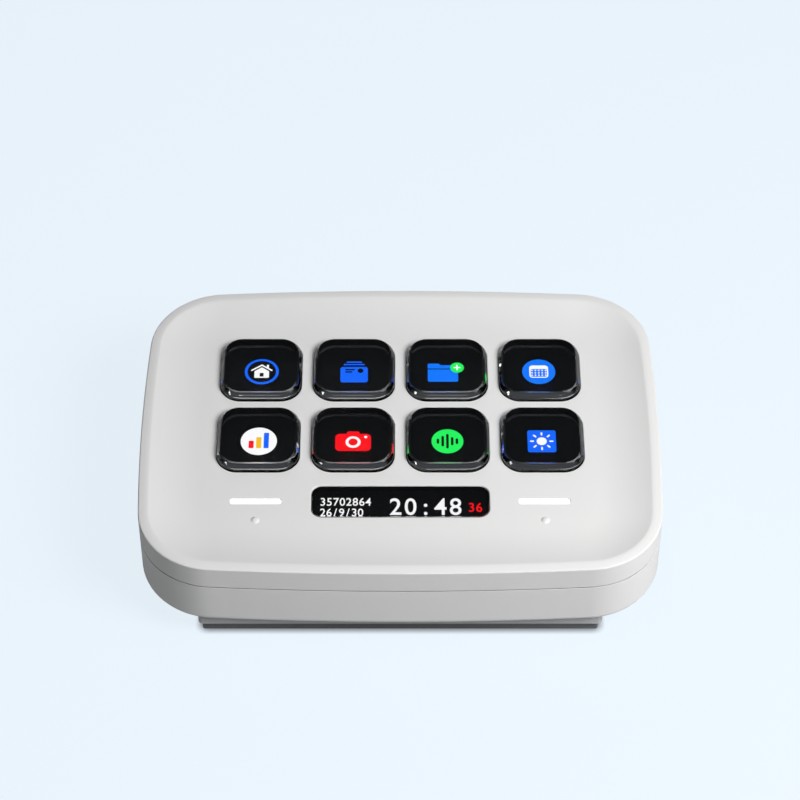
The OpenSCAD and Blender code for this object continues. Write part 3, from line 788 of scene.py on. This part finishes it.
class KEYPAD_OT_bottom_shell(bpy.types.Operator):
    """Makes the lower shell with its lap joint and the recess for the socket"""

    bl_idname = "keypad.bottom_shell"
    bl_label = "Bottom shell"

    def execute(self, context):
        s = settings()
        case = s.case
        seam = -case.seam_drop
        tongue = case.wall / 2 + 2 * ROOM
        top = seam + case.lap - ROOM
        ledge = seam - case.seam_gap
        lip = 0.35 * MM
        edge = edge_rings(quarter_round(case.seam_round, 3), ledge - case.seam_round)
        inner = [
            (outline(lip), ledge - case.groove),
            (outline(tongue), ledge - case.groove),
            (outline(tongue), top),
            (outline(case.wall), top),
            (outline(case.wall), case.floor - case.thickness),
        ]
        shell = skin("bottom_cover", case_underside() + edge + inner)
        shell.data.materials.append(case_plastic())
        self.cut_socket(shell)
        settle(shell, face_place())
        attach(shell, "housing")
        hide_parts("bottom_shell")
        return {"FINISHED"}

    def cut_socket(self, shell):
        """Slot for the socket and the recess round it, both with rounded ends."""
        s = settings()
        low, high = face_box("usb_socket")
        width, height = high.x - low.x, high.z - low.z
        middle = (low.z + high.z) / 2
        slot_room, recess_side, recess_end = 0.4 * MM, 4.2 * MM, 3.6 * MM
        slot_w, slot_h = width + slot_room, height + slot_room
        recess_w, recess_h = width + recess_side, height + recess_end
        slot_flat, recess_flat = 0.01 * MM, 0.1 * MM
        half = s.case.depth / 2
        outside = half + 3 * MM
        recess, rim = 0.8 * MM, 0.25 * MM
        turn = Matrix.Translation((0, 0, middle)) @ Matrix.Rotation(-math.pi / 2, 4, "X")
        through = [(0, half - s.case.wall - MM), (0, outside)]
        slot = column("slot", slot_w, slot_h, slot_h / 2 - slot_flat, through)
        mouth = [(0, half - recess), (0, half - rim)] + [
            (pulled, half - rim + raised) for pulled, raised in quarter_round(rim, 4)[1:]
        ]
        mouth.append((rim, outside))
        opening = column("recess", recess_w, recess_h, recess_h / 2 - recess_flat, mouth)
        for tool in (slot, opening):
            tool.data.transform(turn)
            combine(shell, tool, "DIFFERENCE")


class KEYPAD_OT_foot(bpy.types.Operator):
    """Makes the wedge foot, shaped to the case above it, and its rubber sole"""

    bl_idname = "keypad.foot"
    bl_label = "Foot"

    def execute(self, context):
        s = settings()
        foot = self.block("pedestal_cover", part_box("pedestal"), s.foot.corner, s.foot.edge, OVER)
        foot.data.materials.append(shaded_foot_plastic())
        body = skin("case_form", case_underside() + [(outline(0), -s.case.seam_drop)])
        body.data.transform(face_place())
        combine(foot, body, "DIFFERENCE")
        settle(foot)
        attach(foot, "housing")
        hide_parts("pedestal")

        sole = self.block("sole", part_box("rubber_sole"), s.foot.sole_corner, s.foot.sole_edge)
        sole.data.materials.append(sole_rubber())
        settle(sole)
        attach(sole, "housing")
        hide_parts("rubber_sole")
        return {"FINISHED"}

    def block(self, name, box, corner, edge, above=0):
        """Block in a box, with a rounded lower edge. It may reach above the box."""
        low, high = box
        size = high - low
        levels = [(-pulled, low.z + raised) for pulled, raised in lower_round(edge, 4)]
        levels.append((0, high.z + above))
        return column(name, size.x, size.y, corner, levels, at=(low + high) / 2)


class KEYPAD_OT_keys(bpy.types.Operator):
    """Makes the eight clear keys with their rounded crowns and lips"""

    bl_idname = "keypad.keys"
    bl_label = "Keys"

    def execute(self, context):
        s = settings()
        keys = s.keys
        side = keys.opening - 2 * keys.gap
        level = -s.face.dish
        top = level + keys.proud
        lip_top = level - s.face.field_skin - ROOM
        lip_low = lip_top - keys.lip_height
        below = lip_low - keys.lens
        belly, inward, sliver = 1.2 * MM, 2 * MM, 0.01 * MM
        path = [
            (-keys.slope, below),
            (-keys.slope, lip_low),
            (keys.lip, lip_low),
            (keys.lip, lip_top),
            (0, lip_top),
            (0, level),
            (0, top - keys.slope_drop),
            (-keys.slope / 2, top - keys.slope_drop / 2 + keys.swell),
            (-keys.slope, top),
            (-inward, top),
        ]
        radii = [0, 0, 0, 0, 0, 0, keys.edge / 2, belly, keys.edge, 0]
        levels = filleted(path, radii)
        first = column("key", side, side, keys.opening_corner - keys.gap, levels, steps=12)
        first.data.materials.append(key_plastic())
        ink(first, below + sliver, level)
        for index in range(COLUMNS * ROWS):
            number = index + 1
            key = first.copy()
            key.data = first.data.copy()
            key.name = f"key_{number}_glass"
            bpy.context.collection.objects.link(key)
            settle(key, face_place() @ Matrix.Translation(key_place(index)))
            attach(key, f"key_{number}")
            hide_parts(f"key_cap_{number}")
        bpy.data.objects.remove(first)
        return {"FINISHED"}


# ---- shapes of the pictures: each lies on the display glass, and a higher layer covers a lower one


LAYER = 0.03 * MM


def glow(name):
    """Lit colour of a picture, by the name that it has in the panel."""
    return lit_pixels(f"lit_{name}", getattr(settings().colours, name))


def unlit():
    """Dark part of a picture: the display's own black glass."""
    return grain("display_black", linear("#030304"), 0.3, 0.5 * MM, 0.0005 * MM, specular=0.1)


def finish_shape(obj, at, layer, material, turn=0.0):
    """Lays a flat shape down at its place and layer."""
    obj.data.transform(Matrix.Rotation(turn, 4, "Z"))
    obj.data.transform(Matrix.Translation((at[0] * MM, at[1] * MM, layer * LAYER)))
    obj.data.materials.clear()
    obj.data.materials.append(material)
    return obj


def plate(width, height, corner, at, material, layer=0, turn=0.0):
    """Rounded plate, in millimetres."""
    obj = column("plate", width * MM, height * MM, corner * MM, [(0, 0), (0, LAYER)], steps=6)
    return finish_shape(obj, at, layer, material, turn)


def disc(radius, at, material, layer=0, sides=64):
    """Round plate, or one with a few sides, in millimetres."""
    deselect()
    bpy.ops.mesh.primitive_cylinder_add(
        vertices=sides, radius=radius * MM, depth=LAYER, location=(0, 0, LAYER / 2)
    )
    bpy.ops.object.transform_apply(location=True)
    return finish_shape(bpy.context.object, at, layer, material)


def gable(width, height, at, material, layer=0):
    """Triangle that stands on its base at a place, in millimetres."""
    obj = disc(1, (0, 0), material, 0, 3)
    obj.data.transform(Matrix.Translation((0, MM / 2, 0)))
    obj.data.transform(Matrix.Diagonal((width / math.sqrt(3), height / 1.5, 1, 1)))
    return finish_shape(obj, at, layer, material)


def home():
    """House in a ring."""
    white, blue = glow("white"), glow("blue")
    roof = math.radians(35)
    return [
        disc(3.6, (0, 0), blue),
        disc(3.0, (0, 0), unlit(), 1),
        plate(0.45, 1.0, 0.05, (1.25, 1.4), white, 2),
        plate(2.9, 0.34, 0.15, (-1.05, 1.05), white, 3, roof),
        plate(2.9, 0.34, 0.15, (1.05, 1.05), white, 3, -roof),
        gable(3.1, 1.15, (0, 0.05), white, 2),
        plate(3.1, 1.9, 0.25, (0, -0.85), white, 2),
        plate(0.8, 1.0, 0.05, (0, -0.95), unlit(), 3),
    ]


def cards():
    """Stack of cards, the front one with two lines and a round mark."""
    blue = glow("blue")
    return [
        plate(5.8, 4.4, 0.6, (0, -0.85), blue),
        plate(4.4, 0.34, 0.16, (0, 2.05), blue),
        plate(3.3, 0.34, 0.16, (0, 2.75), blue),
        plate(2.1, 0.34, 0.16, (-0.85, 0.55), unlit(), 1),
        plate(1.5, 0.34, 0.16, (-1.15, -0.1), unlit(), 1),
        disc(0.62, (1.35, 0.25), unlit(), 1),
    ]


def folder():
    """Folder with a plus sign."""
    blue, green, white = glow("sky"), glow("green"), glow("white")
    return [
        plate(2.6, 1.4, 0.35, (-2.65, 1.6), blue),
        plate(6.4, 4.7, 0.4, (-0.75, -0.5), blue),
        plate(6.4, 0.22, 0.05, (-0.75, 0.75), unlit(), 1),
        disc(1.45, (2.25, 1.1), green, 2),
        plate(1.5, 0.3, 0.1, (2.25, 1.1), white, 3),
        plate(0.3, 1.5, 0.1, (2.25, 1.1), white, 3),
    ]


def calendar():
    """Calendar sheet on a disc."""
    blue, white = glow("sky"), glow("white")
    marks = [(x * 0.72, y * 0.7 - 0.4) for y in (-1, 0, 1) for x in (-2, -1, 0, 1, 2)]
    return [
        disc(3.5, (0, 0), blue),
        plate(4.0, 3.5, 0.7, (0, 0), white, 1),
        plate(3.4, 2.2, 0.3, (0, -0.4), blue, 2),
    ] + [plate(0.32, 0.34, 0.08, at, white, 3) for at in marks]


def chart():
    """White disc with three coloured bars."""
    white = glow("white")
    return [
        disc(3.75, (0, 0), white),
        plate(1.05, 2.0, 0.2, (-1.55, -0.9), glow("red"), 1),
        plate(1.05, 3.0, 0.2, (0, -0.4), glow("yellow"), 1),
        plate(1.05, 4.2, 0.2, (1.55, 0.2), glow("blue"), 1),
    ]


def camera_picture():
    """Red camera with a white lens."""
    red, white = glow("red"), glow("white")
    return [
        plate(7.4, 4.7, 1.0, (0, -0.3), red),
        plate(2.6, 1.2, 0.4, (0, 2.1), red),
        disc(1.55, (0, -0.25), white, 1),
        disc(0.95, (0, -0.25), red, 2),
        disc(0.32, (2.6, 1.15), white, 1),
    ]


def sound():
    """Green disc with the bars of a sound level."""
    green = glow("green")
    heights = (1.3, 2.8, 3.9, 2.2, 1.5)
    return [disc(3.3, (0, 0), green)] + [
        plate(0.52, height, 0.24, ((k - 2) * 0.98, 0), unlit(), 1) for k, height in enumerate(heights)
    ]


def brightness():
    """Sun on a blue square."""
    blue, white = glow("blue"), glow("white")
    rays = [math.radians(45 * k) for k in range(8)]
    return [plate(5.9, 6.0, 0.5, (0, 0), blue), disc(1.05, (0, 0), white, 1)] + [
        plate(0.85, 0.36, 0.16, (2.0 * math.cos(a), 2.0 * math.sin(a)), white, 1, a) for a in rays
    ]


PICTURES = (home, cards, folder, calendar, chart, camera_picture, sound, brightness)


class KEYPAD_OT_pictures(bpy.types.Operator):
    """Lays the lit pictures on the display glass under the keys"""

    bl_idname = "keypad.pictures"
    bl_label = "Pictures"

    def execute(self, context):
        s = settings()
        lead = Vector((0, s.keys.picture_lead, -s.keys.glass_drop))
        for index, draw in enumerate(PICTURES):
            picture = join(f"picture_{index + 1}", draw())
            picture.data.transform(face_place() @ Matrix.Translation(key_place(index) + lead))
            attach(picture, "housing")
        return {"FINISHED"}


FIGURE_HEIGHT = 0.69  # height of a numeral as a share of the font's size
NARROWER = 0.84  # width of the numerals as a share of the font's own
BOLDER = 0.012  # how far their strokes grow, as a share of their height
SAME_POINT = 0.0005 * MM


class KEYPAD_OT_info(bpy.types.Operator):
    """Makes the info lens and the numerals on the info display"""

    bl_idname = "keypad.info"
    bl_label = "Info window"

    def execute(self, context):
        s = settings()
        info, face = s.info, s.face
        top = -face.dish - info.sink
        field = -face.dish - face.field_skin
        edge, frame, sliver = 0.2 * MM, 0.6 * MM, 0.01 * MM
        low = field - info.lip_height
        crown = [(-ROOM - pulled, top - edge + raised) for pulled, raised in quarter_round(edge, 4)]
        levels = [(-frame, low), (info.lip, low), (info.lip, field), (-ROOM, field)] + crown
        middle = (0, -info.forward)
        lens = column("info_lens", info.width, info.depth, info.corner, levels, at=middle, steps=10)
        lens.data.materials.append(lens_plastic())
        ink(lens, low - MM, (field + top - edge) / 2 + sliver)
        clear = min(lens.data.polygons, key=lambda f: (f.center.z, -f.area))
        clear.material_index = 0
        settle(lens, face_place())
        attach(lens, "housing")
        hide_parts("info_window")

        white, red = glow("white"), glow("red")
        rows = (
            self.numerals("20:48", 4.3, 3.05, (-0.95, -20.7), white)
            + self.numerals("35702864", 2.0, 1.32, (-15.75, -18.3), white)
            + self.numerals("26/9/30", 2.0, 1.28, (-15.75, -21.1), white)
            + self.numerals("36", 2.3, 1.53, (14.5, -19.9), red)
        )
        figures = join("info_numerals", rows)
        figures.data.transform(face_place() @ Matrix.Translation((0, 0, -s.keys.glass_drop)))
        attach(figures, "housing")
        return {"FINISHED"}

    def numerals(self, text, height, pitch, at, material):
        """Lit numerals, evenly spaced. Sizes are in millimetres; the place is the first one's foot."""
        figures = []
        for index, figure in enumerate(text):
            deselect()
            bpy.ops.object.text_add(location=((at[0] + index * pitch) * MM, at[1] * MM, LAYER / 2))
            obj = bpy.context.object
            obj.data.body = figure
            obj.data.align_x = "CENTER"
            obj.data.size = height / FIGURE_HEIGHT * MM
            obj.data.extrude = LAYER / 2
            obj.data.offset = BOLDER * height * MM
            obj.data.resolution_u = 4
            obj.scale.x = NARROWER
            bpy.ops.object.convert(target="MESH")
            with editing():
                bpy.ops.mesh.remove_doubles(threshold=SAME_POINT)
                bpy.ops.mesh.normals_make_consistent(inside=False)
            bpy.ops.object.transform_apply(location=True, scale=True)
            obj.data.materials.clear()
            obj.data.materials.append(material)
            figures.append(obj)
        return figures


class KEYPAD_OT_inner_parts(bpy.types.Operator):
    """Gives every solid that stays in view its finish"""

    bl_idname = "keypad.inner_parts"
    bl_label = "Inner parts"

    def execute(self, context):
        epoxy = grain("chip_epoxy", linear("#1B1C1E"), 0.55, 0.15 * MM, 0.005 * MM)
        film = tracked("polyimide_film", "#B8772D", "#D69A4E", 1.974 * MM, 0.3)
        zinc = brushed("zinc_plate", "#A9AEB3", 0.3, 0.3 * MM)
        finishes = (
            (grain("black_abs", linear("#151517"), 0.4, 0.3 * MM, 0.004 * MM), "key_frame"),
            (grain("silicone", linear("#232426"), 0.6, 0.4 * MM, 0.01 * MM), "key_mat"),
            (grain("ivory_nylon", linear("#E6DFCB"), 0.45, 0.3 * MM, 0.004 * MM), "ribbon_sockets"),
            (epoxy, "board_chips", "usb_tongue"),
            (unlit(), "display_panel", "info_display"),
            (light_diffuser("diffuser", "#F9FBFC", 0.15), "backlight"),
            (light_diffuser("lit_diffuser", "#FFFFFF", 0.55), "light_pipe_left", "light_pipe_right"),
            (light_diffuser("led_lens", "#FDF8E4", 0.6), "touch_leds"),
            (tracked("carbon_print", "#0C0C0E", "#17171A", 1.974 * MM, 0.45), "switch_film"),
            (tracked("solder_mask", "#1B5136", "#2A6B49", 3.158 * MM, 0.35), "touch_board", "main_board"),
            (film, "touch_film", "display_ribbon", "switch_ribbon", "touch_ribbon"),
            (brushed("rolled_steel", "#B4B7BA", 0.35, 0.2 * MM), "display_tray"),
            (brushed("drawn_steel", "#C3C6CA", 0.25, 0.15 * MM), "usb_socket"),
            (brushed("ballast_steel", "#8E9296", 0.45, 0.4 * MM), "ballast_plate"),
            (zinc, "panel_screws", "board_screws", "case_screws"),
        )
        for finish, *names in finishes:
            for name in names:
                node = FRAME["nodes"][name]
                if not node.material_slots:
                    node.data.materials.append(finish)
                for slot in node.material_slots:
                    slot.material = finish
        return {"FINISHED"}


# ---- stage


AIM = Vector((0, 0, 0.02))  # what the lamps face


def lamp(name, place, size, power):
    """Soft square lamp that faces the object. Place and size are in metres, power in watts."""
    deselect()
    bpy.ops.object.light_add(type="AREA", location=place)
    obj = bpy.context.object
    obj.name = name
    obj.data.size = size
    obj.data.energy = power
    obj.rotation_mode = "QUATERNION"
    obj.rotation_quaternion = (AIM - Vector(place)).to_track_quat("-Z", "Y")
    return obj


class KEYPAD_OT_stage(bpy.types.Operator):
    """Sets the camera, the pale floor and the lamps"""

    bl_idname = "keypad.stage"
    bl_label = "Stage"

    def execute(self, context):
        stage = settings().stage
        self.camera(stage)
        self.floor(stage)
        self.world(stage)
        lamp("key_lamp", (0.25, -0.21, 0.35), 0.2, 2.1).visible_glossy = False
        lamp("right_lamp", (0.45, -0.16, 0.45), 0.3, 0.65)
        lamp("left_lamp", (-0.5, -0.14, 0.22), 0.2, 0.2).visible_glossy = False
        lamp("back_lamp", (-0.1, 0.55, 0.35), 0.3, 0.45).visible_glossy = False
        lamp("glint_lamp", (-0.52, -0.26, 0.2), 0.14, 1).visible_diffuse = False
        context.scene.view_settings.view_transform = "Standard"
        return {"FINISHED"}

    def camera(self, stage):
        down = stage.look_down
        forward = Vector((0, math.cos(down), -math.sin(down)))
        up = Vector((0, math.sin(down), math.cos(down)))
        right = Vector((1, 0, 0))
        face = face_place().translation
        place = face - right * stage.aside + up * stage.raised - forward * stage.distance
        deselect()
        bpy.ops.object.camera_add(location=place, rotation=(math.pi / 2 - down, 0, 0))
        obj = bpy.context.object
        obj.name = "camera"
        obj.data.lens = stage.lens
        obj.data.sensor_width = 36
        obj.data.clip_start = 0.01
        obj.data.clip_end = 50
        bpy.context.scene.camera = obj

    def seen(self, tree, mirrored):
        """How much of the backdrop's own paleness a ray gets: all of it straight from the camera, a
        share in mirrors and glass, and none once it has met a matt surface."""
        rays = add(tree, "LightPath").outputs
        bent = {0: rays["Is Glossy Ray"], 1: rays["Is Transmission Ray"]}
        bent = add(tree, "Math", bent, operation="MAXIMUM").outputs[0]
        bent = add(tree, "Math", {0: bent, 1: mirrored}, operation="MULTIPLY").outputs[0]
        both = add(tree, "Math", {0: bent, 1: rays["Is Camera Ray"]}, operation="MAXIMUM").outputs[0]
        direct = add(tree, "Math", {0: rays["Diffuse Depth"], 1: 1}, operation="LESS_THAN").outputs[0]
        return add(tree, "Math", {0: both, 1: direct}, operation="MULTIPLY").outputs[0]

    def floor(self, stage):
        """Pale floor: most of what is seen is its own colour, and the rest takes the lamps' light and
        the object's shadow. Close to what stands on it, a painted contact shade darkens its own colour."""
        deselect()
        bpy.ops.mesh.primitive_plane_add(size=12)
        obj = bpy.context.object
        obj.name = "floor"
        material, tree = blank("paper_floor")
        in_mirrors, contact_shade_sharpness = 0.3, 2
        seen = self.seen(tree, in_mirrors)
        shadowless = add(tree, "Math", {0: seen, 1: stage.glow}, operation="MULTIPLY").outputs[0]
        tones = {"Factor": seen, "A": opaque([stage.bounce] * 3), "B": opaque(stage.backdrop)}
        tone = add(tree, "Mix", tones, data_type="RGBA").outputs["Result"]
        paper = add(tree, "BsdfDiffuse", {"Color": tone}).outputs[0]
        # painted contact shade: ambient occlusion dims the floor's own colour close to what stands on it
        near = add(tree, "AmbientOcclusion", {"Distance": stage.contact_shade_reach}, samples=16).outputs["AO"]
        near = add(tree, "Math", {0: near, 1: contact_shade_sharpness}, operation="POWER").outputs[0]
        own = add(tree, "Emission", {"Color": opaque(stage.backdrop), "Strength": near}).outputs[0]
        mixed = add(tree, "MixShader", {0: shadowless, 1: paper, 2: own})
        add(tree, "OutputMaterial", {"Surface": mixed.outputs[0]})
        obj.data.materials.append(material)

    def world(self, stage):
        """Backdrop of the floor's colour, which lights the object only softly. Mirrors and glass see it
        pale towards the front and nearly dark towards the back."""
        soft, dark = 0.02, 0.03
        world = bpy.data.worlds.new("backdrop")
        bpy.context.scene.world = world
        world.use_nodes = True
        tree = world.node_tree
        tree.nodes.clear()
        place = add(tree, "TexCoord").outputs["Generated"]
        way = add(tree, "SeparateXYZ", {"Vector": place}).outputs["Y"]
        front = {"Value": way, "From Min": -0.1, "From Max": -0.5, "To Min": dark, "To Max": 1}
        front = add(tree, "MapRange", front).outputs["Result"]
        level = {"Value": self.seen(tree, front), "To Min": soft, "To Max": 1}
        level = add(tree, "MapRange", level).outputs["Result"]
        sky = add(tree, "Background", {"Color": opaque(stage.backdrop), "Strength": level})
        add(tree, "OutputWorld", {"Surface": sky.outputs[0]})


# ---- panel and run


class KEYPAD_PT_panel(bpy.types.Panel):
    """Lists the keypad's sizes, colours and pieces"""

    bl_label = "Keypad"
    bl_idname = "KEYPAD_PT_panel"
    bl_space_type = "VIEW_3D"
    bl_region_type = "UI"
    bl_category = "Keypad"

    def draw(self, context):
        keypad = context.scene.keypad
        for group_name in ("case", "face", "keys", "info", "foot", "colours", "stage"):
            box = self.layout.box()
            box.label(text=group_name.capitalize())
            group = getattr(keypad, group_name)
            for name in group.__annotations__:
                box.prop(group, name)
        for operator in OPERATORS:
            self.layout.operator(operator.bl_idname)


GROUPS = (
    KeypadCase,
    KeypadFace,
    KeypadKeys,
    KeypadInfo,
    KeypadFoot,
    KeypadColours,
    KeypadStage,
    KeypadSettings,
)
OPERATORS = (
    KEYPAD_OT_stage,
    KEYPAD_OT_top_shell,
    KEYPAD_OT_bottom_shell,
    KEYPAD_OT_foot,
    KEYPAD_OT_keys,
    KEYPAD_OT_pictures,
    KEYPAD_OT_info,
    KEYPAD_OT_inner_parts,
)


def register():
    for item in GROUPS + OPERATORS + (KEYPAD_PT_panel,):
        bpy.utils.register_class(item)
    bpy.types.Scene.keypad = PointerProperty(type=KeypadSettings)


def unregister():
    del bpy.types.Scene.keypad
    for item in reversed(GROUPS + OPERATORS + (KEYPAD_PT_panel,)):
        bpy.utils.unregister_class(item)


def main():
    register()
    bpy.ops.keypad.stage()
    bpy.ops.keypad.top_shell()
    bpy.ops.keypad.bottom_shell()
    bpy.ops.keypad.foot()
    bpy.ops.keypad.keys()
    bpy.ops.keypad.pictures()
    bpy.ops.keypad.info()
    bpy.ops.keypad.inner_parts()
    bpy.context.view_layer.update()


if __name__ == "__main__":
    main()
